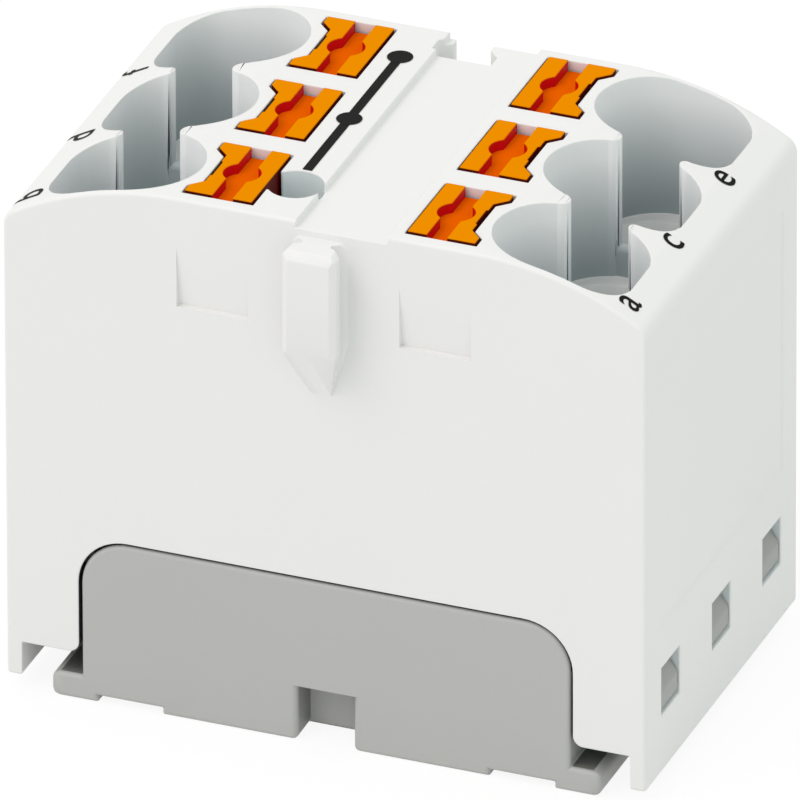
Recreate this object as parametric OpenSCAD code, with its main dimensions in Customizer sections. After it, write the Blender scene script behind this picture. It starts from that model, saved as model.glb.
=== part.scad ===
// Push-in power distribution block: six clamping points on one current bar,
// three on each bank, in a crowned housing that snaps onto a mounting base.
// X runs from bank to bank, Y from the keyed front to the slotted back, Z up.
// The origin is the centre of the base's underside.

/* [Housing] */
// Length between the two end faces
body_l = 33.6; // [32.6:0.1:42]
// Height of the crown above the bottom of the end legs
body_h = 28.25; // [27:0.05:36]
// Distance from one row of clamping points to the next
pitch = 6.95; // [6.9:0.05:9]
// Wall left outside the first and the last row of wire wells
rim_t = 0.35; // [0.32:0.01:1]
// Thickness of the end walls and of the legs below them
leg_t = 0.82; // [0.7:0.02:1.2]
// Thickness of the front and back walls round the inner hall
wall_t = 1.1; // [0.9:0.05:1.4]
// Length of the curved fall of the crown towards each end face
fall_l = 9; // [8.4:0.1:10]
// Radius of that fall
fall_r = 16.5; // [16:0.5:24]
// Radius where the crown turns into the end face
shoulder_r = 0.9; // [0.65:0.05:1.4]
// Radius along the front, back and upright edges
edge_r = 0.3; // [0.15:0.05:0.3]

/* [Wire wells] */
// Width of a wire well
well_w = 6.25; // [5.8:0.05:6.4]
// Distance from the end face to the round inner end's centre
well_d = 6; // [5.6:0.05:6.4]
// Thickness of the end wall beside a well
well_end_t = 1.65; // [1.3:0.05:2]
// Radius of a well's two outer corners
well_corner_r = 2.05; // [1.4:0.05:2.4]
// Depth of a well below the crown
well_depth = 7.75; // [6.5:0.05:8.5]
// Distances from the end face to the two sides of the neck between wells
neck_d = [3.55, 6.6]; // [3.4:0.05:6.8]
// Depth below the crown of the sill across a neck
neck_depth = 6.05; // [4:0.05:6.5]
// Thickness of the floor below the wells
floor_t = 1.05; // [0.8:0.05:1.5]
// Width of the wire throat through that floor
throat_w = 3.6; // [3:0.05:3.9]
// Length by which the throat is longer than it is wide
throat_run = 0.6; // [0.4:0.05:1]
// Width that the throat's lead-in gains towards the well
leadin_w = 1.1; // [0.5:0.05:1.3]
// Depth of that lead-in
leadin_h = 0.7; // [0.4:0.05:0.8]

/* [Push buttons] */
// Length of a button's head across the rows
btn_l = 3.5; // [3.3:0.05:3.7]
// Width of the head along the row direction
btn_w = 5.25; // [4.8:0.05:5.6]
// Height of the head
btn_h = 2.2; // [1.8:0.05:3]
// How far the head's face stands above the crown
btn_proud = 0.1; // [0:0.01:0.3]
// How far the two wings stand out beyond the waist
wing_out = 0.6; // [0.4:0.05:0.8]
// Width of a wing at its tip
wing_w = 0.6; // [0.4:0.05:0.9]
// Depth of the relief in the middle of the waist
waist_cut = 0.1; // [0.05:0.01:0.2]
// Length of that relief
waist_cut_w = 1.5; // [1:0.05:2]
// Housing wall between a button's waist and the well beside it
web_t = 0.7; // [0.5:0.05:1]
// Width of the screwdriver slot
slot_w = 1.05; // [0.9:0.05:1.3]
// Depth of the screwdriver slot
slot_depth = 0.6; // [0.4:0.05:1]
// Distance from the head's inner edge to the slot's centre
slot_in = 1.52; // [1.4:0.02:1.75]
// Diameter of the test-probe recess in the slot
probe_d = 1.9; // [1.6:0.05:2]
// Length of the stem across the rows
stem_l = 2.5; // [2:0.05:2.6]
// Width of the stem along the row direction
stem_w = 3.2; // [2.6:0.1:3.4]
// Travel of a button
btn_travel = 1.2; // [0.8:0.05:1.6]
// Clearance round a head and a stem
btn_gap = 0.12; // [0.08:0.01:0.2]
// Depth of the snap hooks on the stem
hook_out = 0.4; // [0.3:0.05:0.5]
// Height of the snap hooks
hook_h = 1.4; // [1:0.1:1.6]
// Height of the hooks' upright face
hook_face_h = 0.4; // [0.3:0.05:0.6]
// Clearance above the hooks and below the stem at rest
rest_gap = 0.12; // [0.08:0.01:0.2]

/* [Clamps] */
// Thickness of the current bar
bar_t = 0.8; // [0.6:0.05:1]
// Width of the bar's walls and tabs at each clamping point
clamp_w = 4.3; // [3.6:0.05:4.4]
// Radius of the bar's bends
bar_bend_r = 1; // [0.9:0.05:1.4]
// Height of the inner tabs, and length of the windows they are bent out of
tab_h = 4.2; // [3.5:0.1:5]
// Thickness of the clamp springs
spring_t = 0.4; // [0.3:0.05:0.5]
// Width of the clamp springs
spring_w = 4.1; // [3.4:0.05:4.2]
// Radius of the springs' bow, to the middle of the leaf
bow_r = 1.5; // [1.3:0.05:1.7]
// Slope of the clamping leg
leg_slope = 30; // [26:1:33]
// Depth of the bow's centre below the ceiling of the clamp chambers
bow_drop = 4.4; // [4:0.1:4.8]
// How far a bar wall stands above the spring's tip
wall_over = 3; // [2:0.1:4]
// Running gap between the clamp parts and what they face
clamp_gap = 0.05; // [0.03:0.01:0.1]
// Wall between two clamp chambers of one bank
chamber_wall_t = 0.85; // [0.7:0.05:1.2]
// Gap between the inner tabs and the chambers' inner wall
tab_gap = 0.2; // [0.1:0.05:0.3]
// Overlap of the spring's bow with the stem above it, across the rows
bow_under = 0.35; // [0.2:0.05:0.6]

/* [Base] */
// How far the base stands below the legs
foot_drop = 0.75; // [0.5:0.05:1.5]
// Length of the base's flange
flange_l = 28.9; // [27.4:0.1:29.4]
// Height of the flange
flange_h = 1.35; // [1.1:0.01:1.8]
// Radius of the flange's lower corners
flange_r = 0.45; // [0.2:0.05:0.6]
// Height of the housing's lower front edge above the legs
skirt_h = 1.87; // [1.5:0.01:2.2]
// Length of the cut-out in the front and back walls
cutout_l = 25.96; // [25:0.02:26.6]
// Height of the cut-out above the legs
cutout_h = 8.45; // [8:0.05:9.2]
// Radius of the cut-out's upper corners
cutout_r = 2.6; // [1.5:0.1:3]
// Radius of the cut-out's lower corners
cutout_foot_r = 0.55; // [0.2:0.05:0.7]
// Clearance between the base's tongues and the cut-outs
tongue_gap = 0.15; // [0.08:0.01:0.2]
// Wall and rib thickness inside the base
rib_t = 1.2; // [0.9:0.05:1.6]
// Depth of the ledges that carry the bar at the front and back
ledge_t = 2.4; // [2.3:0.05:3]
// Width, height and depth of the screwdriver notch
notch = [2.95, 3, 1.8]; // [1:0.05:4]
// Distances from the middle to the sides of the shallow channels underneath
channel_x = [8.6, 12]; // [2:0.1:13]
// Depth of those channels
channel_h = 0.36; // [0.2:0.02:0.5]

/* [Latches] */
// Width of a latch window in the end walls
window_w = 2.55; // [2.2:0.05:3]
// Heights of a window's lower and upper edge above the legs
window_z = [3.13, 5.8]; // [3:0.01:6.5]
// Clearance of a latch nose in its window
window_gap = 0.1; // [0.05:0.01:0.2]
// How far a nose stays behind the end face
nose_in = 0.1; // [0.05:0.05:0.4]
// Bevel on a nose's lower edge
nose_bevel = 0.1; // [0.05:0.01:0.15]
// Height of the straight stretch below a nose's ramp
nose_flat = 1.1; // [0.8:0.05:1.4]
// Thickness of the wings that carry the noses
latch_t = 1; // [0.8:0.05:1.2]
// Height of the wings' lower edge above the skirt
latch_drop = 0.2; // [0.1:0.05:0.5]

/* [Marking and joining] */
// Sides of the marker groove, measured from the middle
groove_x = [-1.45, 3.35]; // [-1.6:0.05:3.6]
// Depth of the marker groove
groove_depth = 0.4; // [0.2:0.05:0.6]
// Offset of the front key and the back slot from the middle
key_x = -0.15; // [-0.5:0.05:0.5]
// Width of the key's head
key_w = 2.84; // [2.4:0.02:3]
// Width of the key's waist
key_waist = 1.5; // [1.2:0.05:1.6]
// How far the key stands out of the front face
key_out = 1.8; // [1.6:0.05:2]
// Thickness of the key's head
key_head_t = 1; // [0.8:0.05:1.1]
// Bevel on the key's edges
key_bevel = 0.3; // [0.2:0.05:0.4]
// Half the rise of the slanted underside of the key's head
key_slant = 0.2; // [0.1:0.05:0.2]
// Depths below the crown of the key's top, of its straight front's end and of its tip
key_z = [0.8, 6.25, 9.4]; // [0.5:0.05:11]
// Width of the key's tip
key_tip = 1.05; // [0.8:0.05:1.3]
// Clearance of the key's waist between the back slot's lips, to each side
key_gap = 0.22; // [0.15:0.01:0.3]
// Clearance round the key's head in the back slot
key_slack = 0.12; // [0.05:0.01:0.2]
// Thickness of the back slot's lips
lip_t = 0.45; // [0.35:0.05:0.5]
// Width of the wedge-shaped pockets in the front face
wedge_w = 3.75; // [3.2:0.05:4]
// Depths of a wedge pocket's upper and lower edge below the crown
wedge_z = [2.65, 6]; // [2:0.05:8]
// Depth of a wedge pocket at its ledge
wedge_depth = 0.35; // [0.2:0.05:0.4]
// Radius of the access hole beside the first button of the left bank
access_r = 1.4; // [1.2:0.05:1.4]
// Depth of the access hole
access_depth = 3; // [2:0.1:3.3]
// Width by which the access hole cuts into the marker groove
access_over = 0.05; // [0:0.01:0.2]
// Width of its opening into the button's pocket
access_w = 1.9; // [1.5:0.05:2.2]
// Depth of the shallow panel on each end face
panel_depth = 0.08; // [0.04:0.01:0.15]
// Distance from the middle row to the panel's sides, beyond the outer rows
panel_over = 1.5; // [1:0.1:2]
// Heights of the panel's lower and upper edge above the legs
panel_z = [8.1, 22.9]; // [7:0.1:23]

/* [Hidden] */
$fn = 64;
eps = 0.01;
// Depth to which the key's outline reaches into the wall it stands on
root = 0.5;

housing_colour = [0.93, 0.93, 0.92];
base_colour = [0.70, 0.71, 0.69];
bar_colour = [0.80, 0.78, 0.74];
spring_colour = [0.72, 0.73, 0.75];
button_colour = [0.93, 0.58, 0.02];

right = 1;
left = -1;
front = -1;
middle = 0;
back = 1;
rows = [front, middle, back];

half_l = body_l / 2;
body_w = 2 * pitch + well_w + 2 * rim_t;
half_w = body_w / 2;
hall_w = body_w - 2 * wall_t;

// Heights, from the underside of the base
leg_z = foot_drop;
crown_z = leg_z + body_h;
skirt_z = leg_z + skirt_h;
cutout_z = leg_z + cutout_h;
hall_z = cutout_z + tongue_gap;
well_z = crown_z - well_depth;
ceiling_z = well_z - floor_t;
bar_z = hall_z - tongue_gap - bar_t;

// The crown: a wide arc, then a small one that ends upright
arc_x = half_l - fall_l;
arc_z = crown_z - fall_r;
turn = acos((fall_l - shoulder_r) / (fall_r - shoulder_r));
shoulder_z = arc_z + (fall_r - shoulder_r) * sin(turn);

// Wells, necks and throats, on the right bank
well_x = half_l - well_d;
well_out_x = half_l - well_end_t;
corner_x = well_out_x - well_corner_r;
corner_y = well_w / 2 - well_corner_r;
neck_x = [half_l - neck_d[1], half_l - neck_d[0]];
// Rounded tips of the webs beside a neck, tangent to both wells
tip_in_r = (pow(well_x - neck_x[0], 2) + pow(pitch / 2, 2) - pow(well_w / 2, 2))
    / (well_w - 2 * (well_x - neck_x[0]));
tip_out_r = (pow(neck_x[1] - corner_x, 2) + pow(pitch / 2 - corner_y, 2) - pow(well_corner_r, 2))
    / (2 * (well_corner_r - (neck_x[1] - corner_x)));
tip_in_x = neck_x[0] - tip_in_r;
tip_out_x = neck_x[1] + tip_out_r;

// Buttons, on the right bank
waist_x = well_x - well_w / 2 - web_t;
wing_x = waist_x + wing_out;
btn_x = wing_x - btn_l;
btn_mid_x = btn_x + btn_l / 2;
slot_x = btn_x + slot_in;
stem_x = waist_x - stem_l - btn_gap;
head_z = crown_z + btn_proud;
pocket_z = head_z - btn_h - btn_travel - btn_gap;

// Clamps, on the right bank: the tip of the spring bears on the bar's wall
bow_x = stem_x - bow_under;
bow_z = ceiling_z - bow_drop;
tab_x = bow_x - bow_r - spring_t / 2 - bar_t;
bar_wall_x = well_x - throat_run / 2 + throat_w / 2 + throat_run;
leg_x = bow_x + bow_r * sin(leg_slope);
leg_top_z = bow_z + bow_r * cos(leg_slope);
leg_l = (bar_wall_x - clamp_gap - leg_x) / cos(leg_slope) - spring_t / 2 * tan(leg_slope);
tip_z = leg_top_z - leg_l * sin(leg_slope);
// The foot of a stem: level over the bow, then parallel to the clamping leg
bow_clear_z = bow_z + bow_r + spring_t / 2 + rest_gap;
function leg_clear_z(x) = leg_top_z - (x - leg_x) * tan(leg_slope) + spring_t / 2 / cos(leg_slope) + rest_gap;
bow_end_x = leg_x - (bow_clear_z - leg_clear_z(leg_x)) / tan(leg_slope);
chamber_x = [tab_x - tab_gap, half_l - well_end_t];
chamber_w = pitch - chamber_wall_t;
throat_x = bar_wall_x - throat_w / 2 - throat_run;

// Base
tongue_l = cutout_l - 2 * tongue_gap;
latch_x = half_l - leg_t - tongue_gap;
latch_z = leg_z + window_z[0] + window_gap;
inner_w = hall_w - 2 * tongue_gap;

// Places children on a bank and in a row
module at(side, row) {
    mirror([side < 0 ? 1 : 0, 0, 0]) translate([0, row * pitch, 0]) children();
}

module at_all() {
    for (side = [left, right], row = rows) at(side, row) children();
}

// Raises a flat outline drawn in X and Z to a bar along Y
module along_y(width) {
    rotate([90, 0, 0]) linear_extrude(width, center = true) children();
}

// Raises a flat outline drawn in Y and Z to a bar along X
module along_x(length) {
    rotate([90, 0, 90]) linear_extrude(length, center = true) children();
}

module box(x, y, z) {
    translate([x[0], y[0], z[0]]) cube([x[1] - x[0], y[1] - y[0], z[1] - z[0]]);
}

// Rectangle with its first corner at the origin and all corners rounded
module rounded_square(size, r) {
    translate([r, 0]) square([size[0] - 2 * r, size[1]]);
    translate([0, r]) square([size[0], size[1] - 2 * r]);
    for (x = [r, size[0] - r], y = [r, size[1] - r]) translate([x, y]) circle(r);
}

// Front view of the housing's outside
module crown_outline() {
    translate([-half_l, leg_z]) square([body_l, shoulder_z - leg_z]);
    translate([-arc_x, leg_z]) square([2 * arc_x, crown_z - leg_z]);
    for (s = [0, 1]) mirror([s, 0]) {
        translate([half_l - shoulder_r, shoulder_z]) circle(shoulder_r);
        intersection() {
            translate([arc_x, arc_z]) circle(fall_r);
            polygon([
                [0, leg_z], [0, 2 * crown_z], [arc_x + 2 * fall_r * cos(turn), arc_z + 2 * fall_r * sin(turn)],
                [arc_x, arc_z]
            ]);
        }
    }
}

module crowned_block() {
    intersection() {
        along_y(body_w) crown_outline();
        translate([-half_l, -half_w, 0]) linear_extrude(2 * crown_z) rounded_square([body_l, body_w], edge_r);
    }
}

module well_outline() {
    translate([well_x, 0]) circle(d = well_w);
    translate([well_x, -well_w / 2]) square([corner_x - well_x, well_w]);
    translate([well_x, -corner_y]) square([well_out_x - well_x, 2 * corner_y]);
    for (s = [-1, 1]) translate([corner_x, s * corner_y]) circle(well_corner_r);
}

// The neck that joins a well to the one behind it, across a thin sill with a round top
module neck() {
    neck_l = tip_out_x - tip_in_x;
    sill_r = (pitch - well_w) / 2;
    sill_h = well_depth - neck_depth - sill_r;
    translate([0, 0, well_z]) difference() {
        linear_extrude(well_depth + 1) difference() {
            translate([tip_in_x, 0]) square([neck_l, pitch]);
            translate([tip_in_x, pitch / 2]) circle(tip_in_r);
            translate([tip_out_x, pitch / 2]) circle(tip_out_r);
        }
        translate([tip_in_x - eps, pitch / 2, sill_h]) {
            translate([0, -sill_r, -sill_h - 1]) cube([neck_l + 2 * eps, 2 * sill_r, sill_h + 1]);
            rotate([0, 90, 0]) cylinder(r = sill_r, h = neck_l + 2 * eps);
        }
    }
}

module throat() {
    taper = leadin_w / 2;
    for (x = [throat_x, throat_x + throat_run]) translate([x, 0, 0]) {
        translate([0, 0, ceiling_z - eps]) cylinder(d = throat_w, h = floor_t + 2 * eps);
        translate([0, 0, well_z - leadin_h])
            cylinder(d1 = throat_w, d2 = throat_w + leadin_w, h = leadin_h);
    }
    translate([throat_x + throat_run / 2, 0, 0]) along_x(throat_run) polygon([
        [-throat_w / 2, ceiling_z - eps], [throat_w / 2, ceiling_z - eps],
        [throat_w / 2, well_z - leadin_h], [throat_w / 2 + taper, well_z],
        [-throat_w / 2 - taper, well_z], [-throat_w / 2, well_z - leadin_h]
    ]);
}

// A button's H-shaped outline, grown by g; its wings point to the well
module button_outline(g = 0, relief = 0) {
    y_tip = btn_w / 2 - wing_w - g * tan(22.5);
    y_waist = y_tip - wing_out;
    half = [
        [wing_x + g, btn_w / 2 + g], [wing_x + g, y_tip], [waist_x + g, y_waist],
        [waist_x + g, waist_cut_w / 2], [waist_x + g - relief, waist_cut_w / 2]
    ];
    for (s = [0, 1]) mirror([0, s])
        polygon(concat([[btn_x - g, 0], [btn_x - g, btn_w / 2 + g]], half, [[waist_x + g - relief, 0]]));
}

module button_cut() {
    translate([0, 0, pocket_z]) linear_extrude(crown_z - pocket_z + 1) button_outline(btn_gap);
    box([stem_x - btn_gap, stem_x + stem_l + btn_gap],
        [-stem_w / 2 - btn_gap, stem_w / 2 + btn_gap], [ceiling_z - eps, pocket_z + eps]);
}

module access_hole() {
    hole_x = groove_x[0] - access_r + access_over;
    translate([0, 0, crown_z - access_depth]) {
        translate([hole_x, front * pitch, 0]) cylinder(r = access_r, h = access_depth + 1);
        translate([-btn_x, front * pitch - access_w / 2, 0])
            cube([hole_x + btn_x, access_w, access_depth + 1]);
    }
}

// Outline of the key, seen from above, on a wall that runs along X at y = 0
module key_outline() {
    y_head = -key_out + key_head_t;
    half = [
        [key_w / 2 - key_bevel, -key_out], [key_w / 2, -key_out + key_bevel], [key_w / 2, y_head - key_slant],
        [key_waist / 2, y_head + key_slant], [key_waist / 2, y_head / 2], [key_w / 2, 0], [key_w / 2, root]
    ];
    for (s = [0, 1]) mirror([s, 0]) polygon(concat([[-eps, root], [-eps, -key_out]], half));
}

module front_key() {
    z_top = crown_z - key_z[0];
    z_taper = crown_z - key_z[1];
    z_tip = crown_z - key_z[2];
    translate([key_x, -half_w, 0]) intersection() {
        translate([0, 0, z_tip]) linear_extrude(z_top - z_tip) key_outline();
        along_x(2 * key_w) polygon([
            [root, z_tip], [0, z_tip], [-key_out, z_taper], [-key_out, z_top - 1.5 * key_bevel],
            [-key_out + key_bevel, z_top], [root, z_top]
        ]);
        along_y(4 * key_out) polygon([
            [-key_tip / 2, z_tip], [-key_w / 2, z_taper], [-key_w / 2, z_top - key_bevel],
            [-key_w / 2 + key_bevel, z_top], [key_w / 2 - key_bevel, z_top],
            [key_w / 2, z_top - key_bevel], [key_w / 2, z_taper], [key_tip / 2, z_tip]
        ]);
    }
}

// Slot in the back face that takes the key of the next block
module key_slot() {
    wide = key_w / 2 + key_slack;
    mouth = key_waist / 2 + key_gap;
    y_in = half_w - key_out - key_slack;
    y_lip = half_w - lip_t;
    // The head ends where the key's sloping tip has come down to its underside
    head_foot = key_z[1] + (key_z[2] - key_z[1]) * (key_head_t - key_slant) / key_out;
    z_room = crown_z - head_foot - key_gap;
    z_foot = crown_z - key_z[2] - key_gap;
    translate([key_x, 0, z_room]) linear_extrude(crown_z - z_room + 1) polygon([
        [-wide, y_in], [wide, y_in], [wide, y_lip - wide + mouth], [mouth, y_lip], [mouth, half_w + 1],
        [-mouth, half_w + 1], [-mouth, y_lip], [-wide, y_lip - wide + mouth]
    ]);
    translate([key_x, 0, 0]) box([-mouth, mouth], [y_in, half_w + 1], [z_foot, crown_z]);
}

module wedge_pocket() {
    translate([btn_mid_x, 0, 0]) along_x(wedge_w) polygon([
        [-half_w - 1, crown_z - wedge_z[0]], [-half_w, crown_z - wedge_z[0]],
        [-half_w + wedge_depth, crown_z - wedge_z[1]], [-half_w - 1, crown_z - wedge_z[1]]
    ]);
}

// Opening in the front and back walls that the base's tongues fill
module cutout_outline() {
    r = cutout_foot_r;
    translate([-cutout_l / 2, skirt_z - cutout_r]) rounded_square([cutout_l, cutout_z - skirt_z + cutout_r], cutout_r);
    for (s = [0, 1]) mirror([s, 0]) difference() {
        translate([cutout_l / 2 - eps, skirt_z - eps]) square([r + eps, r + eps]);
        translate([cutout_l / 2 + r, skirt_z + r]) circle(r);
    }
}

module housing() {
    color(housing_colour) difference() {
        union() {
            crowned_block();
            front_key();
        }
        // Between the legs, the hall and the cut-outs for the tongues
        box([leg_t - half_l, half_l - leg_t], [-half_w - 1, half_w + 1], [leg_z - 1, skirt_z]);
        box([leg_t - half_l, half_l - leg_t], [-hall_w / 2, hall_w / 2], [leg_z, hall_z]);
        along_y(body_w + 2) cutout_outline();
        at_all() {
            translate([0, 0, well_z]) linear_extrude(well_depth + 1) well_outline();
            throat();
            box(chamber_x, [-chamber_w / 2, chamber_w / 2], [hall_z - eps, ceiling_z]);
            button_cut();
            box([half_l - leg_t - 1, half_l + 1], [-window_w / 2, window_w / 2],
                [leg_z + window_z[0], leg_z + window_z[1]]);
        }
        for (side = [left, right], row = [front, middle]) at(side, row) neck();
        for (side = [left, right]) at(side, middle) {
            wedge_pocket();
            box([half_l - panel_depth, half_l + 1], [-pitch - panel_over, pitch + panel_over],
                [leg_z + panel_z[0], leg_z + panel_z[1]]);
        }
        box(groove_x, [-half_w - 1, half_w + 1], [crown_z - groove_depth, crown_z + 1]);
        access_hole();
        key_slot();
    }
}

module flange() {
    intersection() {
        along_y(body_w) translate([-flange_l / 2, 0]) rounded_square([flange_l, flange_h], flange_r);
        translate([-flange_l / 2, -half_w, -eps]) linear_extrude(flange_h + 2 * eps)
            rounded_square([flange_l, body_w], edge_r);
    }
}

// The block above the flange, which fills the cut-outs
module tongue_outline() {
    translate([-tongue_l / 2, flange_r])
        rounded_square([tongue_l, cutout_z - tongue_gap - flange_r], cutout_r - tongue_gap);
    translate([-tongue_l / 2, flange_r]) square([tongue_l, 2 * cutout_r]);
}

module latch_nose() {
    nose_x = half_l - nose_in;
    z_top = leg_z + window_z[1] - window_gap;
    along_y(window_w - 2 * window_gap) polygon([
        [latch_x - eps, latch_z], [nose_x - nose_bevel, latch_z], [nose_x, latch_z + 3 * nose_bevel],
        [nose_x, latch_z + nose_flat], [latch_x, z_top], [latch_x - eps, z_top]
    ]);
}

// A wing inside the hall that carries three noses on its springy outer wall
module latch_wing() {
    box([tongue_l / 2 - eps, latch_x], [-inner_w / 2, inner_w / 2], [bar_z - rib_t, bar_z]);
    box([latch_x - latch_t, latch_x], [-inner_w / 2, inner_w / 2], [skirt_z + latch_drop, bar_z]);
}

module mounting_base() {
    bay_l = (tongue_l - 3 * rib_t) / 2;
    bay_w = (body_w - 2 * ledge_t - 2 * rib_t) / 3;
    color(base_colour) difference() {
        union() {
            flange();
            along_y(body_w) tongue_outline();
            box([-tongue_l / 2, tongue_l / 2], [-inner_w / 2, inner_w / 2], [flange_r, bar_z]);
            for (side = [left, right]) at(side, middle) latch_wing();
            at_all() latch_nose();
        }
        // Seat of the current bar, and the bays between the ribs below it
        box([-half_l, half_l], [-hall_w / 2, hall_w / 2], [bar_z, crown_z]);
        for (side = [left, right], row = rows) mirror([side < 0 ? 1 : 0, 0, 0])
            translate([rib_t / 2, row * (bay_w + rib_t) - bay_w / 2, flange_h])
                cube([bay_l, bay_w, crown_z]);
        // Screwdriver notch at the front, and the channels underneath
        box([-notch[0] / 2, notch[0] / 2], [-half_w - 1, notch[2] - half_w], [-1, notch[1]]);
        for (side = [left, right]) at(side, middle)
            box(channel_x, [-half_w - 1, half_w + 1], [-1, channel_h]);
    }
}

// One clamping point of the bar: floor, bent-up outer wall and inner tab
module bar_point_outline() {
    r = bar_bend_r;
    end_x = bar_wall_x + bar_t;
    translate([0, bar_z]) difference() {
        union() {
            square([end_x, bar_t]);
            translate([bar_wall_x, 0]) square([bar_t, tip_z + wall_over - bar_z]);
            translate([tab_x, 0]) square([bar_t, bar_t + tab_h]);
        }
        translate([end_x - r, -eps]) difference() {
            square([r + eps, r + eps]);
            translate([0, r + eps]) circle(r);
        }
    }
}

module current_bar() {
    strip_l = bar_wall_x - 2 * bar_bend_r;
    color(bar_colour) difference() {
        union() {
            box([-strip_l, strip_l], [-pitch - clamp_w / 2, pitch + clamp_w / 2], [bar_z, bar_z + bar_t]);
            at_all() along_y(clamp_w) bar_point_outline();
        }
        at_all() box([tab_x + bar_t, tab_x + bar_t + tab_h], [-clamp_w / 2, clamp_w / 2],
            [bar_z - 1, bar_z + bar_t + eps]);
    }
}

// A bent leaf: holding leg, bow and clamping leg
module spring_outline() {
    outer = bow_r + spring_t / 2;
    inner = bow_r - spring_t / 2;
    leg_foot_z = bar_z + clamp_gap;
    translate([bow_x - outer, leg_foot_z]) square([spring_t, bow_z - leg_foot_z + eps]);
    translate([bow_x, bow_z]) difference() {
        circle(outer);
        circle(inner);
        translate([-2 * outer, -2 * outer]) square([4 * outer, 2 * outer]);
        rotate(90 - leg_slope) translate([0, -4 * outer]) square([4 * outer, 4 * outer]);
    }
    translate([leg_x, leg_top_z]) rotate(-leg_slope)
        translate([-eps, -spring_t / 2]) square([leg_l + eps, spring_t]);
}

module clamp_spring(side, row) {
    color(spring_colour) at(side, row) along_y(spring_w) spring_outline();
}

module push_button(side, row) {
    stem_end = stem_x + stem_l;
    hook_z = ceiling_z - rest_gap;
    color(button_colour) at(side, row) difference() {
        union() {
            translate([0, 0, head_z - btn_h]) linear_extrude(btn_h) button_outline(0, waist_cut);
            along_y(stem_w) polygon([
                [stem_x, head_z - btn_h + eps], [stem_x, bow_clear_z], [bow_end_x, bow_clear_z],
                [stem_end, leg_clear_z(stem_end)], [stem_end, head_z - btn_h + eps]
            ]);
            for (s = [0, 1]) mirror([0, s, 0]) translate([stem_x + stem_l / 2, stem_w / 2, hook_z])
                along_x(stem_l / 2) polygon([
                    [-eps, 0], [hook_out, 0], [hook_out, -hook_face_h], [0, -hook_h], [-eps, -hook_h]
                ]);
        }
        translate([slot_x, 0, head_z - slot_depth]) {
            translate([-slot_w / 2, -btn_w, 0]) cube([slot_w, 2 * btn_w, btn_h]);
            cylinder(d = probe_d, h = btn_h);
        }
    }
}

housing();
mounting_base();
current_bar();
clamp_spring(right, front);  // clamp_spring_a
clamp_spring(left, front);  // clamp_spring_b
clamp_spring(right, middle);  // clamp_spring_c
clamp_spring(left, middle);  // clamp_spring_d
clamp_spring(right, back);  // clamp_spring_e
clamp_spring(left, back);  // clamp_spring_f
push_button(right, front);  // push_button_a
push_button(left, front);  // push_button_b
push_button(right, middle);  // push_button_c
push_button(left, middle);  // push_button_d
push_button(right, back);  // push_button_e
push_button(left, back);  // push_button_f
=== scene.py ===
# Power distribution block: the looks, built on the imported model.
# Every moulding is a merged copy of its own solid with rounded edges, so it
# stays where the model has it and moves with its body.
import math

import bpy
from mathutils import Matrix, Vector


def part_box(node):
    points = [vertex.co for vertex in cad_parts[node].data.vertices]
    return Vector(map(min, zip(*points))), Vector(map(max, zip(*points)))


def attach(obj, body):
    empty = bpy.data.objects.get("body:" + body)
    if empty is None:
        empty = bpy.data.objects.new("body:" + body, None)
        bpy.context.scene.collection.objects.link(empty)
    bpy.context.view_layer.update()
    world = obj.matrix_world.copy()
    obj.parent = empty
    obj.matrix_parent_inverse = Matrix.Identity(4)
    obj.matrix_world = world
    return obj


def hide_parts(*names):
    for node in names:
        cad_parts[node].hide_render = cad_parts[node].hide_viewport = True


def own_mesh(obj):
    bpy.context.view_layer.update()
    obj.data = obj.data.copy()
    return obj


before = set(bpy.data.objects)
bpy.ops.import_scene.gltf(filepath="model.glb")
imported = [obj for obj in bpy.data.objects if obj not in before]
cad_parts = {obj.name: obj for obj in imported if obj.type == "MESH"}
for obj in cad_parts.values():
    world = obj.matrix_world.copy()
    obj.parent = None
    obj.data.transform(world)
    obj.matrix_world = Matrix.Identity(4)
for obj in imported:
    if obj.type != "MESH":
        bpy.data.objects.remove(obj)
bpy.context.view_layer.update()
mm = 0.001
near = 0.01  # mm, a point this close to a plane lies on it
print("frame loaded,", len(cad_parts), "pieces")


def boxOf(nodeName):
    # the two corners of a piece in mm
    return [[place / mm for place in corner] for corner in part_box(nodeName)]


def middleOf(nodeName):
    low, high = boxOf(nodeName)
    return [(a + b) / 2 for a, b in zip(low, high)]


halfLength, halfWidth, crownTop = (round(place, 3) for place in boxOf("housing")[1])
rows = [round(middleOf("push_button_" + letter)[1], 3) for letter in "ace"]
bankX = round(middleOf("push_button_a")[0], 3)


def toLinear(hexColour):
    # sRGB hex to the linear values that shaders take
    values = [int(hexColour[i:i + 2], 16) / 255 for i in (1, 3, 5)]
    return [v / 12.92 if v <= 0.04045 else ((v + 0.055) / 1.055) ** 2.4 for v in values] + [1]


def addNode(tree, kind, inputs=None, **settings):
    # an input is a socket to link from, or a plain value
    node = tree.nodes.new(kind)
    for name, value in settings.items():
        setattr(node, name, value)
    for name, value in (inputs or {}).items():
        if isinstance(value, bpy.types.NodeSocket):
            tree.links.new(value, node.inputs[name])
        else:
            node.inputs[name].default_value = value
    return node


def newMaterial(name):
    material = bpy.data.materials.new(name)
    material.use_nodes = True
    material.node_tree.nodes.clear()
    return material, material.node_tree


# Injection-moulded polyamide: a fine spark-eroded skin that scatters the light
# softly, with hardly any colour change from place to place.
polyamide = {
    "cloudSize": 7,       # mm, slow change of tone left by the flow of the melt
    "grainSize": 0.22,    # mm, drawn about four times as coarse as the real grain
    "grainDepth": 0.006,  # mm
    "roughness": (0.40, 0.50),
    "gloss": 0.3,
}


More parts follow.
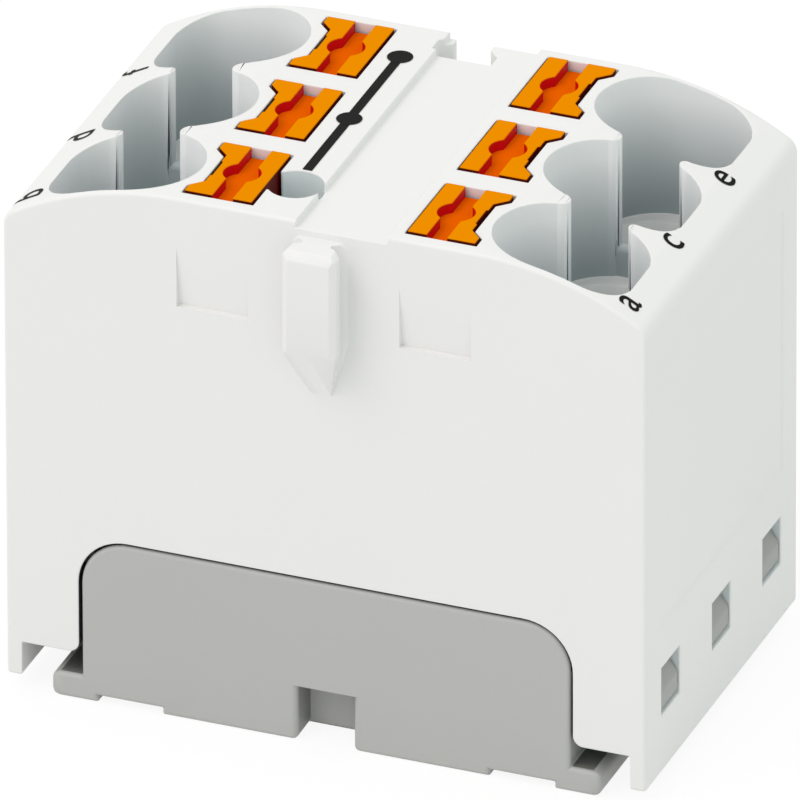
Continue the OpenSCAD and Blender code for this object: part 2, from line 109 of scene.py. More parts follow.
def makePolyamide(name, light, dark, paintedShadeFade=None):
    # fade: the axis and the two places in mm between which the colour goes from light to dark, as
    # painted shade
    material, tree = newMaterial(name)
    place = addNode(tree, "ShaderNodeTexCoord").outputs["Object"]
    cloud = addNode(tree, "ShaderNodeTexNoise", {
        "Vector": place, "Scale": 1 / (polyamide["cloudSize"] * mm), "Detail": 2.0})
    grain = addNode(tree, "ShaderNodeTexNoise", {
        "Vector": place, "Scale": 1 / (polyamide["grainSize"] * mm), "Detail": 3.0})
    factor = cloud.outputs["Fac"]
    if paintedShadeFade:
        axis, start, end = paintedShadeFade
        along = addNode(tree, "ShaderNodeSeparateXYZ", {"Vector": place}).outputs[axis]
        fromMiddle = addNode(tree, "ShaderNodeMath", {0: along}, operation="ABSOLUTE")
        factor = addNode(tree, "ShaderNodeMapRange", {
            "Value": fromMiddle.outputs["Value"],
            "From Min": start * mm, "From Max": end * mm}).outputs["Result"]
    colour = addNode(tree, "ShaderNodeMix", {
        "Factor": factor, 6: toLinear(light), 7: toLinear(dark)}, data_type="RGBA")
    low, high = polyamide["roughness"]
    roughness = addNode(tree, "ShaderNodeMapRange", {
        "Value": grain.outputs["Fac"], "To Min": low, "To Max": high})
    bump = addNode(tree, "ShaderNodeBump", {
        "Height": grain.outputs["Fac"], "Strength": 0.35,
        "Distance": polyamide["grainDepth"] * mm})
    shader = addNode(tree, "ShaderNodeBsdfPrincipled", {
        "Base Color": colour.outputs[2], "Roughness": roughness.outputs["Result"],
        "Normal": bump.outputs["Normal"], "IOR": 1.53, "Specular IOR Level": polyamide["gloss"]})
    addNode(tree, "ShaderNodeOutputMaterial", {"Surface": shader.outputs["BSDF"]})
    return material


# The white moulding, just off white in the open. Little light comes back out of its wells, pockets,
# access hole, latch windows and the gap round the base, so their walls carry painted shade,
# coloured down towards a cool grey or near black.
whitePolyamide = makePolyamide("polyamideMouldedWhite", "#EEEEEC", "#ECECEA")
# painted shade: the well walls and floors go from near white at the rim to a cool grey deep down
wellPaintedShade = makePolyamide(
    "polyamideWhiteWellPaintedShade", "#F4F6F5", "#A6B1B4", ("Z", 27.9, 21.3))
# painted shade: the walls of the pockets round the buttons are a dark grey
pocketPaintedShade = makePolyamide("polyamideWhitePocketPaintedShade", "#8E8A86", "#86827E")
# painted shade: the pocket's back wall, seen through a button's slot, darkens from white to grey
# downwards
pocketBackPaintedShade = makePolyamide(
    "polyamideWhitePocketBackPaintedShade", "#EEFDFE", "#8FA8A6", ("Z", 28.35, 27.9))
# painted shade: the walls of the access hole and the latch windows are a light grey
holeAndWindowPaintedShade = makePolyamide("polyamideWhiteHoleAndWindowPaintedShade", "#DDE6E6", "#D9E3E3")
# painted shade: the housing's walls in the gap round the base are near black
gapPaintedShade = makePolyamide("polyamideWhiteGapPaintedShade", "#34353A", "#303134")
# The grey moulding: a warm mid grey, with painted shade down to nearly black where it dips under
# the white one
greyPolyamide = makePolyamide("polyamideMouldedGrey", "#BABBB8", "#B7B8B5")
# painted shadow: the flange's top darkens inwards, under the white skirt
greyLedgePaintedShadow = makePolyamide(
    "polyamideGreyLedgePaintedShadow", "#7E7F7B", "#666763", ("Y", 10.3, 9.7))
# painted shade: the grey faces inside the narrow gaps are near black
greyGapPaintedShade = makePolyamide("polyamideGreyGapPaintedShade", "#2A2B29", "#262725")
# painted shade: the notch's walls darken going inwards
greyNotchPaintedShade = makePolyamide(
    "polyamideGreyNotchPaintedShade", "#9A9B97", "#858682", ("Y", 10.3, 8.7))
# painted shade: the latch noses behind the windows are a darker grey
greyNosePaintedShade = makePolyamide("polyamideGreyNosePaintedShade", "#A6A7A3", "#A2A39F")
print("polyamides ready")


# Polyamide coloured right through, satin from the mould. Light that goes down into the slots and
# gaps comes back redder each time it meets the plastic; the slot floors, slot walls and gap sides
# carry this as painted bounce light and shade, redder and darker.
orange = {"grainSize": 0.18, "grainDepth": 0.005}  # mm


def makeOrange(name, hexColour, roughness, gloss):
    material, tree = newMaterial(name)
    place = addNode(tree, "ShaderNodeTexCoord").outputs["Object"]
    grain = addNode(tree, "ShaderNodeTexNoise", {
        "Vector": place, "Scale": 1 / (orange["grainSize"] * mm), "Detail": 3.0})
    bump = addNode(tree, "ShaderNodeBump", {
        "Height": grain.outputs["Fac"], "Strength": 0.3, "Distance": orange["grainDepth"] * mm})
    shader = addNode(tree, "ShaderNodeBsdfPrincipled", {
        "Base Color": toLinear(hexColour), "Roughness": roughness,
        "Normal": bump.outputs["Normal"], "IOR": 1.53, "Specular IOR Level": gloss})
    addNode(tree, "ShaderNodeOutputMaterial", {"Surface": shader.outputs["BSDF"]})
    return material


orangeFace = makeOrange("polyamideMouldedOrange", "#EA8C00", 0.42, 0.0)
# painted bounce light: the slot floors are a redder orange
orangeSlotFloorPaintedShade = makeOrange("polyamideOrangeSlotFloorPaintedShade", "#EC6600", 0.45, 0.0)
# painted shade: the slot walls are red
orangeSlotWallPaintedShade = makeOrange("polyamideOrangeSlotWallPaintedShade", "#C40C12", 0.45, 0.06)
# painted shade: the button sides in the gaps are a dark red-brown
orangeGapPaintedShade = makeOrange("polyamideOrangeGapPaintedShade", "#5A0E06", 0.45, 0.06)


# Pad-printed ink, dense and matt, with a faint unevenness
def makeInk():
    material, tree = newMaterial("padPrintInkBlack")
    place = addNode(tree, "ShaderNodeTexCoord").outputs["Object"]
    patches = addNode(tree, "ShaderNodeTexNoise", {"Vector": place, "Scale": 1 / (0.4 * mm)})
    colour = addNode(tree, "ShaderNodeMix", {
        "Factor": patches.outputs["Fac"],
        6: toLinear("#0A0A09"), 7: toLinear("#131312")}, data_type="RGBA")
    shader = addNode(tree, "ShaderNodeBsdfPrincipled", {
        "Base Color": colour.outputs[2], "Roughness": 0.55, "Specular IOR Level": 0.1})
    addNode(tree, "ShaderNodeOutputMaterial", {"Surface": shader.outputs["BSDF"]})
    return material


# Metal strip: bright, with fine lines left by the rolls along its length
strip = {
    "stretch": 0.05,          # share left of the pattern's scale along the lines
    "roughnessSpread": 0.08,
    "lineDepth": 0.004,       # mm
}


def makeStrip(name, hexColour, roughness, lineWidth):
    material, tree = newMaterial(name)
    place = addNode(tree, "ShaderNodeTexCoord").outputs["Object"]
    stretched = addNode(tree, "ShaderNodeMapping", {
        "Vector": place, "Scale": (strip["stretch"], 1, strip["stretch"])})
    lines = addNode(tree, "ShaderNodeTexNoise", {
        "Vector": stretched.outputs["Vector"], "Scale": 1 / (lineWidth * mm), "Detail": 3.0})
    spread = addNode(tree, "ShaderNodeMapRange", {
        "Value": lines.outputs["Fac"], "To Min": roughness - strip["roughnessSpread"],
        "To Max": roughness + strip["roughnessSpread"]})
    bump = addNode(tree, "ShaderNodeBump", {
        "Height": lines.outputs["Fac"], "Strength": 0.3, "Distance": strip["lineDepth"] * mm})
    shader = addNode(tree, "ShaderNodeBsdfPrincipled", {
        "Base Color": toLinear(hexColour), "Metallic": 1.0,
        "Roughness": spread.outputs["Result"], "Normal": bump.outputs["Normal"]})
    addNode(tree, "ShaderNodeOutputMaterial", {"Surface": shader.outputs["BSDF"]})
    return material


blackInk = makeInk()
tinnedCopper = makeStrip("copperTinPlated", "#D8D4CC", 0.30, 0.12)
springSteel = makeStrip("steelColdRolled", "#C9CBCE", 0.26, 0.10)
print("materials ready")


def makeActive(thing):
    for other in bpy.context.selected_objects:
        other.select_set(False)
    thing.select_set(True)
    bpy.context.view_layer.objects.active = thing


def selectVertices(piece, isWanted):
    # isWanted takes a point in mm; the piece is left in edit mode
    makeActive(piece)
    bpy.ops.object.mode_set(mode="EDIT")
    bpy.ops.mesh.select_mode(type="VERT")
    bpy.ops.mesh.select_all(action="DESELECT")
    bpy.ops.object.mode_set(mode="OBJECT")
    for vertex in piece.data.vertices:
        vertex.select = isWanted(vertex.co / mm)
    bpy.ops.object.mode_set(mode="EDIT")


def copyOfSolid(nodeName, pieceName, cuts=(), cornerRadius=None):
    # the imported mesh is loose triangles, so its copy is merged and its flat faces made whole;
    # cuts are the planes (axis, mm) that keep such a face from running round a hole;
    # cornerRadius is that of the upright round corners that are squared, for the bevel
    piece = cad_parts[nodeName].copy()
    piece.data = piece.data.copy()
    piece.name = piece.data.name = pieceName
    piece.parent = None
    for key in list(piece.keys()):
        del piece[key]
    piece.data.materials.clear()
    bpy.context.scene.collection.objects.link(piece)
    makeActive(piece)
    bpy.ops.mesh.customdata_custom_splitnormals_clear()
    bpy.ops.object.mode_set(mode="EDIT")
    bpy.ops.mesh.select_all(action="SELECT")
    bpy.ops.mesh.remove_doubles(threshold=0.012 * mm)
    if cornerRadius:
        for side in (-1, 1):
            selectVertices(piece, lambda p: abs(p.x) > halfLength - cornerRadius - 0.001
                           and p.y * side > halfWidth - cornerRadius - 0.001)
            bpy.ops.transform.resize(value=(1, 0, 1), center_override=(0, halfWidth * side * mm, 0))
    for axis, place in cuts:
        bpy.ops.mesh.select_all(action="SELECT")
        normal = Vector([float(axis == name) for name in "xyz"])
        bpy.ops.mesh.bisect(plane_co=normal * place * mm, plane_no=normal, threshold=near * mm)
        bpy.ops.mesh.mark_seam()
    bpy.ops.mesh.select_all(action="SELECT")
    bpy.ops.mesh.dissolve_limited(angle_limit=math.radians(0.3), delimit={"SEAM"})
    bpy.ops.mesh.mark_seam(clear=True)
    bpy.ops.object.mode_set(mode="OBJECT")
    return piece


def weighEdges(piece, weightOf):
    # weightOf(a, b, turn) gives an edge's share of the bevel, from 0 to 1
    mesh = piece.data
    faces = {}
    for face in mesh.polygons:
        for key in face.edge_keys:
            faces.setdefault(key, []).append(face.normal)
    weights = mesh.attributes.new("bevel_weight_edge", "FLOAT", "EDGE")
    for edge in mesh.edges:
        normals = faces[edge.key]
        turn = math.degrees(normals[0].angle(normals[1], 0)) if len(normals) == 2 else 0
        a, b = (mesh.vertices[i].co / mm for i in edge.vertices)
        weights.data[edge.index].value = weightOf(a, b, turn)


def roundEdges(piece, width, segments, isSoft=None):
    # isSoft(a, b) says which sharp edges are shaded as round all the same
    makeActive(piece)
    bevel = piece.modifiers.new("roundedEdges", "BEVEL")
    bevel.width = width * mm
    bevel.segments = segments
    bevel.limit_method = "WEIGHT"
    bevel.use_clamp_overlap = False
    bpy.ops.object.modifier_apply(modifier=bevel.name)
    bpy.ops.object.shade_smooth_by_angle(angle=math.radians(32))
    if isSoft:
        for edge in piece.data.edges:
            a, b = (piece.data.vertices[i].co / mm for i in edge.vertices)
            if isSoft(a, b):
                edge.use_edge_sharp = False
    # the large faces stay flat, and only the narrow ones beside them shade round
    flatten = piece.modifiers.new("flatFaces", "WEIGHTED_NORMAL")
    flatten.keep_sharp = True
    bpy.ops.object.modifier_apply(modifier=flatten.name)


def finishOrShadeFaces(piece, finishesAndShades, finishOrShadeOf):
    # the function given picks each face's material, the moulding's own finish or a painted shade,
    # from the face's middle in mm and its normal
    for finish in finishesAndShades:
        piece.data.materials.append(finish)
    for face in piece.data.polygons:
        face.material_index = finishesAndShades.index(finishOrShadeOf(face.center / mm, face.normal))


def standFor(piece, nodeName, bodyName):
    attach(piece, bodyName)
    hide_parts(nodeName)


def isIn(point, place):
    # place: the least and greatest distance from the middle along X and Y, and height, in mm
    measures = (abs(point.x), abs(point.y), point.z)
    return all(low <= measure <= high for measure, (low, high) in zip(measures, place))


def bothIn(a, b, place):
    return isIn(a, place) and isIn(b, place)


housing = {
    "edge": 0.06,          # mm, radius left on a moulded edge
    "outline": 0.2,        # mm, radius round the front and back faces
    "foot": 0.16,          # mm, radius round the lower ends of the legs
    "window": 0.1,         # mm, radius round the latch windows
    "cornerRadius": 0.3,   # mm, the model's own radius on the upright corners
    "webTips": (9.671, 13.666),  # mm, along X, where the webs' round tips begin
    "webStep": (0.38, 0.6),      # mm, how far their two sides lie from the middle
    "panelDepth": 0.08,    # mm, of the shallow panels in the end faces
    "panelMiddle": 16.25,  # mm, their height
    "panelRamp": (1, 0.99, 0.965),  # share of a panel's size that its floor keeps
    "keyX": -0.15,         # mm, middle of the key
    "holeX": -2.85,        # mm, middle of the access hole
}
anywhere = (0, 99)
panelX = halfLength - housing["panelDepth"]
housingPlaces = {
    "frontOrBack": (anywhere, (halfWidth - near, halfWidth + near), anywhere),
    "end": ((halfLength - near, halfLength + near), anywhere, anywhere),
    "legEnd": (anywhere, anywhere, (0, 0.76)),
    "windowEdge": ((halfLength - near, halfLength + near), (0, 9), (3, 7)),
    "windowWall": ((14, halfLength - 0.12), anywhere, (2.5, 7.5)),
    "panel": ((16.6, 17), (0, 9), (7.5, 24)),
    "panelFloor": ((panelX - near, panelX + near), anywhere, (7.5, 24.5)),
    "wedgePocket": ((3.5, 8), (10, 11), (22.5, 26.6)),
    "crown": (anywhere, anywhere, (25, 30)),
    "groove": ((0, 5), anywhere, (0, 28.7)),
    "wellUpright": ((7.6, 15.3), (0, 10.2), (21, 30)),
    "well": ((7.6, 15.2), (0, 10.2), (21.5, 28.6)),
    "wellBottom": (anywhere, anywhere, (0, 27)),
    "cutout": ((0, 13.2), (9.2, halfWidth - 0.05), (0.9, 9.3)),
    # from the middle of the key, of a button and of the access hole
    "keyWaist": ((0, 0.9), (10.6, 11.1), anywhere),
    "shaft": ((3.9, 7.72), (0, 2.76), (22, 28.93)),
    "hole": ((0, 1.55), (0, 1.55), (25.9, 28.95)),
}


def makeHousing():
    places = housingPlaces
    cuts = [("y", row) for row in rows] + [("x", x) for x in (-bankX, housing["keyX"], bankX)]
    piece = copyOfSolid("housing", "housingMoulding", cuts, housing["cornerRadius"])

    # a web's round tip meets the walls of its two wells without a step
    webY = rows[-1] / 2
    lowStep, highStep = housing["webStep"]
    selectVertices(piece, lambda p: min(abs(abs(p.x) - x) for x in housing["webTips"]) < near
                   and lowStep < abs(abs(p.y) - webY) < highStep)
    bpy.ops.mesh.remove_doubles(threshold=0.05 * mm)
    bpy.ops.object.mode_set(mode="OBJECT")
    # the end panels are so shallow that their edges are soft ramps
    selectVertices(piece, lambda p: isIn(p, places["panelFloor"]))
    bpy.ops.transform.resize(value=housing["panelRamp"],
                             center_override=(0, 0, housing["panelMiddle"] * mm))
    bpy.ops.object.mode_set(mode="OBJECT")

    def isWellUpright(a, b):
        return abs(a.z - b.z) > 1 and bothIn(a, b, places["wellUpright"])

    def weightOf(a, b, turn):
        # one radius all along each chain of edges; steps too shallow for a bevel stay sharp
        key = Vector((housing["keyX"], 0, 0))
        atWaist = any(isIn(p - key, places["keyWaist"]) for p in (a, b))
        inShallow = bothIn(a, b, places["panel"]) or bothIn(a, b, places["wedgePocket"])
        if turn < 30 or atWaist or inShallow or isWellUpright(a, b):
            return 0
        if bothIn(a, b, places["legEnd"]):
            return housing["foot"] / housing["outline"]
        if bothIn(a, b, places["windowEdge"]):
            return housing["window"] / housing["outline"]
        onCrown = bothIn(a, b, places["crown"]) and abs(a.x - b.x) > near
        onOutline = bothIn(a, b, places["end"]) or onCrown and not bothIn(a, b, places["groove"])
        if bothIn(a, b, places["frontOrBack"]) and onOutline:
            return 1
        return housing["edge"] / housing["outline"]

    # besides the white moulding, this picks the painted shades of the wells, pockets, hole, windows
    # and cut-out
    def finishOrShadeOf(middle, normal):
        upright = abs(normal.z) < 0.3
        hole = Vector((housing["holeX"], rows[0], 0))
        if isIn(middle, places["well"]) and (upright or isIn(middle, places["wellBottom"])):
            return wellPaintedShade
        if upright and isIn(middle - hole, places["hole"]):
            return holeAndWindowPaintedShade
        if abs(normal.x) < 0.3 and isIn(middle, places["windowWall"]):
            return holeAndWindowPaintedShade
        if upright and any(isIn(middle - Vector((0, row, 0)), places["shaft"]) for row in rows):
            return pocketBackPaintedShade if normal.y < -0.9 else pocketPaintedShade
        if abs(normal.y) < 0.3 and isIn(middle, places["cutout"]):
            return gapPaintedShade
        return whitePolyamide

    weighEdges(piece, weightOf)
    roundEdges(piece, housing["outline"], 3, isWellUpright)
    finishOrShadeFaces(piece, [whitePolyamide, wellPaintedShade, pocketPaintedShade, pocketBackPaintedShade,
                        gapPaintedShade, holeAndWindowPaintedShade], finishOrShadeOf)
    standFor(piece, "housing", "block")


base = {
    "edge": 0.08,       # mm, radius left on a moulded edge
    "face": 0.22,       # mm, radius round the front and back faces
    "notch": 0.3,       # mm, radius of the screwdriver notch's edges
    "flangeEnd": 0.45,  # mm, radius along the flange's two ends
    "flangeCorner": 0.3,
    "halfFlange": 14.45,
    "halfFlat": 13.8,   # mm, where the flange is cut and squared
    "flangeTop": 1.35,
    "ribs": (-5.75, 5.75),  # mm, along Y, where large faces are also cut
}
behindFace = (0, halfWidth - base["face"] - near)
basePlaces = {
    "flangeEnd": ((base["halfFlange"] - near, base["halfFlange"] + near), anywhere, (0, 1.4)),
    "frontOrBack": (anywhere, (halfWidth - near, halfWidth + near), anywhere),
    "notch": ((0, 1.5), anywhere, (0, 3.1)),
    "notchFoot": ((1.4, 1.55), (8.5, 10.5), (0, near)),
    "lowEdge": (anywhere, anywhere, (0, 1.4)),
    "nose": ((14.6, 17), anywhere, (2, 10)),
    "noseEdge": ((16, 17), anywhere, anywhere),
    "ledge": ((12.8, 17), behindFace, (base["flangeTop"] - 0.02, base["flangeTop"] + 0.02)),
    "skirtSide": ((12, 17), (9.1, behindFace[1]), (1.7, 10)),
    "skirtTop": ((0, 17), (9.1, behindFace[1]), (8, 10)),
    "notchWall": ((0, 1.5), (8.5, behindFace[1]), (0, 3)),
}


def squareFlange(piece, side):
    # the flange's rounded end is cut off and drawn out again with square edges, for the bevel
    start, top = base["halfFlat"] * side, base["flangeTop"] + near
    selectVertices(piece, lambda p: (p.x - start) * side > near and p.z < top)
    bpy.ops.mesh.delete(type="VERT")
    selectVertices(piece, lambda p: abs(p.x - start) < near and p.z < top)
    outward = (base["halfFlange"] - base["halfFlat"]) * side * mm
    bpy.ops.mesh.extrude_region_move(TRANSFORM_OT_translate={"value": (outward, 0, 0)})
    bpy.ops.mesh.edge_face_add()
    bpy.ops.object.mode_set(mode="OBJECT")


def makeBase():
    places = basePlaces
    cuts = [("y", y) for y in sorted(rows + list(base["ribs"]))]
    cuts += [("x", -base["halfFlat"]), ("x", base["halfFlat"])]
    piece = copyOfSolid("mounting_base", "mountingBaseMoulding", cuts)
    squareFlange(piece, -1)
    squareFlange(piece, 1)

    def radiusOf(a, b):
        if bothIn(a, b, places["flangeEnd"]):
            return base["flangeEnd" if abs(a.z - b.z) < near else "flangeCorner"]
        if bothIn(a, b, places["frontOrBack"]):
            if a.y > 0 or not bothIn(a, b, places["notch"]):
                return base["face"]
            return base["edge" if abs(a.x - b.x) > 0.1 else "notch"]
        if a.y < 0 and bothIn(a, b, places["notchFoot"]):
            return base["notch"]
        shows = all(isIn(p, places["lowEdge"]) or isIn(p, places["noseEdge"]) for p in (a, b))
        return base["edge"] if shows else 0

    # besides the grey moulding, this picks painted shade for the ledge, the gaps, the notch and the
    # noses
    def finishOrShadeOf(middle, normal):
        if normal.z > 0.9 and isIn(middle, places["ledge"]):
            return greyLedgePaintedShadow
        onSkirt = isIn(middle, places["skirtSide"]) or isIn(middle, places["skirtTop"])
        if abs(normal.y) < 0.3 and onSkirt:
            return greyGapPaintedShade
        if normal.y > -0.9 and middle.y < 0 and isIn(middle, places["notchWall"]):
            return greyNotchPaintedShade
        if isIn(middle, places["nose"]):
            return greyGapPaintedShade if abs(normal.y) > 0.3 else greyNosePaintedShade
        return greyPolyamide

    weighEdges(piece, lambda a, b, turn: radiusOf(a, b) / base["flangeEnd"] if turn >= 30 else 0)
    roundEdges(piece, base["flangeEnd"], 3)
    finishOrShadeFaces(piece, [greyPolyamide, greyLedgePaintedShadow, greyGapPaintedShade,
                        greyNotchPaintedShade, greyNosePaintedShade], finishOrShadeOf)
    standFor(piece, "mounting_base", "block")


button = {
    "edge": 0.05,       # mm, radius left on a moulded edge
    "slotDepth": 0.6,   # mm
    "halfSlot": 1.3,    # mm, half of the greatest width of the slot
}


def makeButton(letter):
    nodeName = "push_button_" + letter
    centreX, centreY = middleOf(nodeName)[:2]
    backY, top = boxOf(nodeName)[1][1:]
    piece = copyOfSolid(nodeName, "pushButton_" + letter, [("x", centreX), ("y", centreY)])

    # besides the orange face, this picks painted shade for the slot floor, the slot walls and the
    # sides in the gaps
    def finishOrShadeOf(middle, normal):
        depth = top - middle.z
        inSlot = depth < button["slotDepth"] + 0.1
        x, y = abs(middle.x - centreX), abs(middle.y - centreY)
        if depth < 0.2 and normal.z > 0.2:
            return orangeFace
        if inSlot and normal.z > 0.6:
            return orangeSlotFloorPaintedShade
        if inSlot and x < button["halfSlot"] and y < backY - centreY - 0.03:
            return orangeSlotWallPaintedShade
        return orangeGapPaintedShade

    weighEdges(piece, lambda a, b, turn: 1 if turn > 30 else 0)
    roundEdges(piece, button["edge"], 2)
    finishOrShadeFaces(piece, [orangeFace, orangeSlotFloorPaintedShade, orangeSlotWallPaintedShade, orangeGapPaintedShade], finishOrShadeOf)
    standFor(piece, nodeName, "button_" + letter)


clamp = {
    "barEdge": 0.05,  # mm, radius left on the bar's edges
    "springEdge": 0.03,  # mm, on the springs' edges
}


def makeMetal(nodeName, pieceName, material, edge):
    piece = copyOfSolid(nodeName, pieceName, [("y", row) for row in rows])
    weighEdges(piece, lambda a, b, turn: 1 if turn > 40 else 0)
    roundEdges(piece, edge, 2)
    piece.data.materials.append(material)
    standFor(piece, nodeName, "block")
    return piece


makeHousing()
print("housing ready")
makeBase()
print("mounting base ready")
for letter in "abcdef":
    makeButton(letter)
print("buttons ready")
makeMetal("current_bar", "currentBar", tinnedCopper, clamp["barEdge"])
for letter in "abcdef":
    spring = makeMetal("clamp_spring_" + letter, "clampSpring_" + letter,
                       springSteel, clamp["springEdge"])
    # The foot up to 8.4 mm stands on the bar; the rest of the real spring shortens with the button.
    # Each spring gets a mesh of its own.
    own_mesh(spring)
print("clamps ready")


crown = {
    "flat": 7.8,      # mm, half of the level middle
    "fall": 16.5,     # mm, radius of the curve down to each end
    "shoulder": 0.9,  # mm, radius at the top of the end face
}


def crownHeight(x):
    # the crown's height in mm over a place x: flat, a wide arc, then the small shoulder
    x = abs(x)
    flat, fall, shoulder = crown["flat"], crown["fall"], crown["shoulder"]
    if x <= flat:
        return crownTop
    turn = math.acos((halfLength - flat - shoulder) / (fall - shoulder))
    shoulderX = halfLength - shoulder
    shoulderZ = crownTop - fall + (fall - shoulder) * math.sin(turn)
    if x > shoulderX + shoulder * math.cos(turn):
        return shoulderZ + math.sqrt(max(0, shoulder ** 2 - (x - shoulderX) ** 2))
    return crownTop - fall + math.sqrt(fall ** 2 - (x - flat) ** 2)


printing = {
    "lineX": -2.79, "lineY": (-5.45, 7.03), "lineWidth": 0.5,
    "dots": (0.2, 7.03), "dotSize": 1.3,
    "dotLift": 0.004,       # mm, above the line
    "letterHeight": 2.1,    # mm, the font's square
    "letterWeight": 0.016,  # mm, added all round each stroke
    "letters": {
        "a": (15.48, -9.13), "c": (15.28, -2.77), "e": (15.31, 4.2),
        "b": (-16.0, -8.97), "d": (-15.91, -2.65), "f": (-15.83, 4.62),
    },
    "strips": 20, "stripWidth": 0.12,  # mm, into which a letter is cut
    "lift": 0.025,          # mm, above the crown
}


def makeLine():
    x, (start, end), width = printing["lineX"], printing["lineY"], printing["lineWidth"]
    bpy.ops.mesh.primitive_plane_add(size=1)
    line = bpy.context.object
    makeActive(line)
    for vertex in line.data.vertices:
        across, along = vertex.co.x * width, vertex.co.y * (end - start)
        vertex.co = Vector((x + across, (start + end) / 2 + along, 0)) * mm
    parts = [line]
    for y in printing["dots"]:
        bpy.ops.mesh.primitive_circle_add(
            vertices=48, radius=printing["dotSize"] / 2 * mm, fill_type="NGON",
            location=(x * mm, y * mm, printing["dotLift"] * mm))
        parts.append(bpy.context.object)
    for part in parts:
        part.select_set(True)
    bpy.context.view_layer.objects.active = line
    bpy.ops.object.join()
    for vertex in line.data.vertices:
        vertex.co.z += (crownTop + printing["lift"]) * mm
    line.name = "potentialLine"
    line.data.materials.append(blackInk)
    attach(line, "block")


def makeLetter(letter, place):
    bpy.ops.object.text_add(location=(0, 0, 0))
    text = bpy.context.object
    text.data.body = letter
    text.data.size = printing["letterHeight"] * mm
    text.data.offset = printing["letterWeight"] * mm
    text.data.align_x = "CENTER"
    makeActive(text)
    bpy.ops.object.convert(target="MESH")
    piece = bpy.context.object
    corners = [v.co.copy() for v in piece.data.vertices]
    middleX = (min(c.x for c in corners) + max(c.x for c in corners)) / 2
    middleY = (min(c.y for c in corners) + max(c.y for c in corners)) / 2
    for vertex in piece.data.vertices:
        # the foot of the letter runs along Y, its top points to the left bank
        across, up = vertex.co.x - middleX, vertex.co.y - middleY
        vertex.co = Vector((place[0] * mm - up, place[1] * mm + across, 0))
    # cut into strips, so that the strokes bend with the crown and its shoulder
    bpy.ops.object.mode_set(mode="EDIT")
    for i in range(printing["strips"] + 1):
        x = place[0] + (i - printing["strips"] / 2) * printing["stripWidth"]
        bpy.ops.mesh.select_all(action="SELECT")
        bpy.ops.mesh.bisect(plane_co=(x * mm, 0, 0), plane_no=(1, 0, 0), threshold=0.001 * mm)
    bpy.ops.object.mode_set(mode="OBJECT")
    for vertex in piece.data.vertices:
        vertex.co.z = (crownHeight(vertex.co.x / mm) + printing["lift"]) * mm
    piece.name = piece.data.name = "letter_" + letter
    piece.data.materials.clear()
    piece.data.materials.append(blackInk)
    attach(piece, "block")


makeLine()
for letter, place in printing["letters"].items():
    makeLetter(letter, place)
print("printing ready")


studio = {
    "azimuth": 21.378,    # degrees, the camera's turn to the right of straight ahead
    "elevation": 28.799,
    "roll": -0.17,
    "aim": (-1.107, 2.579, 12.445),
    "width": 39.288,      # mm seen across the picture
    "sensor": 36,         # mm
    "lens": 1600,         # mm, so long that the view is all but parallel
    "skyColour": "#F4F8F7",
    "skyStrength": 0.96,
    "keyDirection": (-0.39, -0.46, 0.80),
    "keyStrength": 0.74,
    "keyAngle": 35,       # degrees, so broad that the shadows are soft
    "keyColour": (1, 0.84, 0.86),
    "paper": "#E6E6E6",
    "paperGlow": 0.9,     # the paper as the camera sees it, all but white
    "paperShade": "#5C5C5C",  # and what is left of the shadow on it
}


def makeCamera():
    azimuth, elevation = math.radians(studio["azimuth"]), math.radians(studio["elevation"])
    outward = Vector((math.sin(azimuth) * math.cos(elevation),
                      -math.cos(azimuth) * math.cos(elevation), math.sin(elevation)))
    distance = studio["width"] / studio["sensor"] * studio["lens"]
    bpy.ops.object.camera_add(location=(Vector(studio["aim"]) + outward * distance) * mm,
                              rotation=(math.pi / 2 - elevation, 0, azimuth))
    camera = bpy.context.object
    camera.rotation_euler.rotate_axis("Z", math.radians(studio["roll"]))
    camera.data.sensor_width = studio["sensor"]
    camera.data.lens = studio["lens"]
    camera.data.clip_start, camera.data.clip_end = 0.1, 10
    bpy.context.scene.camera = camera


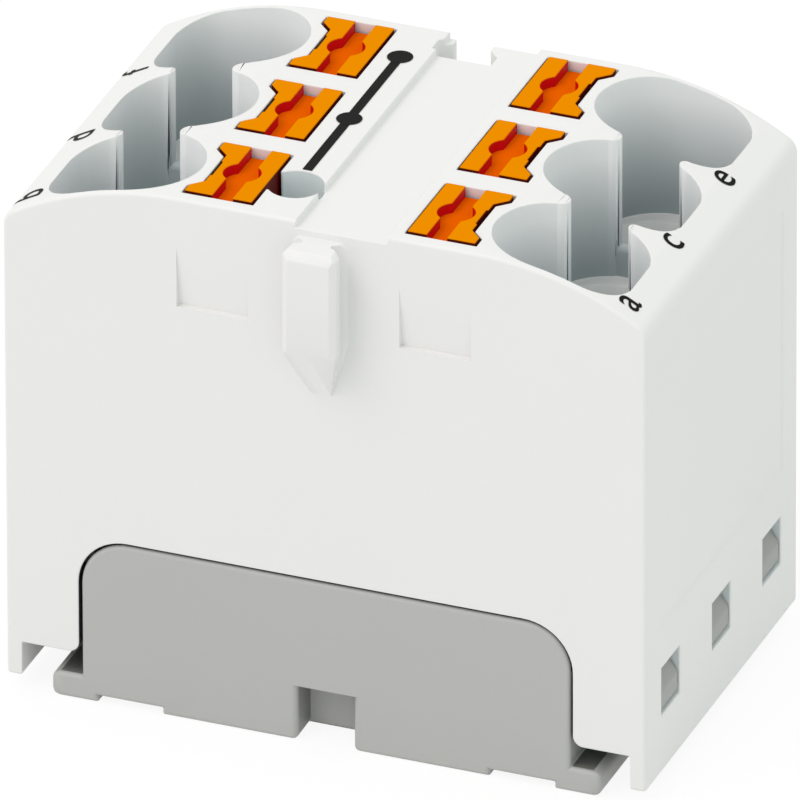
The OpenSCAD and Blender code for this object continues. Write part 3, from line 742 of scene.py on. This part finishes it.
# White paper under the block. The camera and shiny plastic see it all but white, with
# a faint shadow, while all other light meets plain paper.
def makeFloor():
    bpy.ops.mesh.primitive_plane_add(size=1.2)
    floor = bpy.context.object
    floor.name = "floor"
    material, tree = newMaterial("paperSweepWhite")
    paper = addNode(tree, "ShaderNodeBsdfDiffuse", {"Color": toLinear(studio["paper"])})
    glow = addNode(tree, "ShaderNodeEmission", {
        "Color": (1, 1, 1, 1), "Strength": studio["paperGlow"]})
    soft = addNode(tree, "ShaderNodeBsdfDiffuse", {"Color": toLinear(studio["paperShade"])})
    seen = addNode(tree, "ShaderNodeAddShader", {
        0: glow.outputs["Emission"], 1: soft.outputs["BSDF"]})
    rays = addNode(tree, "ShaderNodeLightPath")
    cameraOrGloss = addNode(tree, "ShaderNodeMath", {
        0: rays.outputs["Is Camera Ray"], 1: rays.outputs["Is Glossy Ray"]},
        operation="MAXIMUM")
    anyClearRay = addNode(tree, "ShaderNodeMath", {
        0: cameraOrGloss.outputs["Value"], 1: rays.outputs["Is Transmission Ray"]},
        operation="MAXIMUM")
    mixed = addNode(tree, "ShaderNodeMixShader", {
        0: anyClearRay.outputs["Value"], 1: paper.outputs["BSDF"], 2: seen.outputs["Shader"]})
    addNode(tree, "ShaderNodeOutputMaterial", {"Surface": mixed.outputs["Shader"]})
    floor.data.materials.append(material)


def makeLight():
    world = bpy.data.worlds.new("studio")
    bpy.context.scene.world = world
    world.use_nodes = True
    tree = world.node_tree
    tree.nodes.clear()
    sky = addNode(tree, "ShaderNodeBackground", {
        "Color": toLinear(studio["skyColour"]), "Strength": studio["skyStrength"]})
    white = addNode(tree, "ShaderNodeBackground", {"Color": (1, 1, 1, 1), "Strength": 1.0})
    rays = addNode(tree, "ShaderNodeLightPath")
    mixed = addNode(tree, "ShaderNodeMixShader", {
        0: rays.outputs["Is Camera Ray"], 1: sky.outputs["Background"],
        2: white.outputs["Background"]})
    addNode(tree, "ShaderNodeOutputWorld", {"Surface": mixed.outputs["Shader"]})
    # one broad lamp from above, in front and to the left
    bpy.ops.object.light_add(type="SUN")
    key = bpy.context.object
    key.rotation_euler = Vector(studio["keyDirection"]).to_track_quat("Z", "Y").to_euler()
    key.data.energy = studio["keyStrength"]
    key.data.angle = math.radians(studio["keyAngle"])
    key.data.color = studio["keyColour"]


makeCamera()
makeFloor()
makeLight()
bpy.context.scene.view_settings.view_transform = "Standard"
print("studio ready")
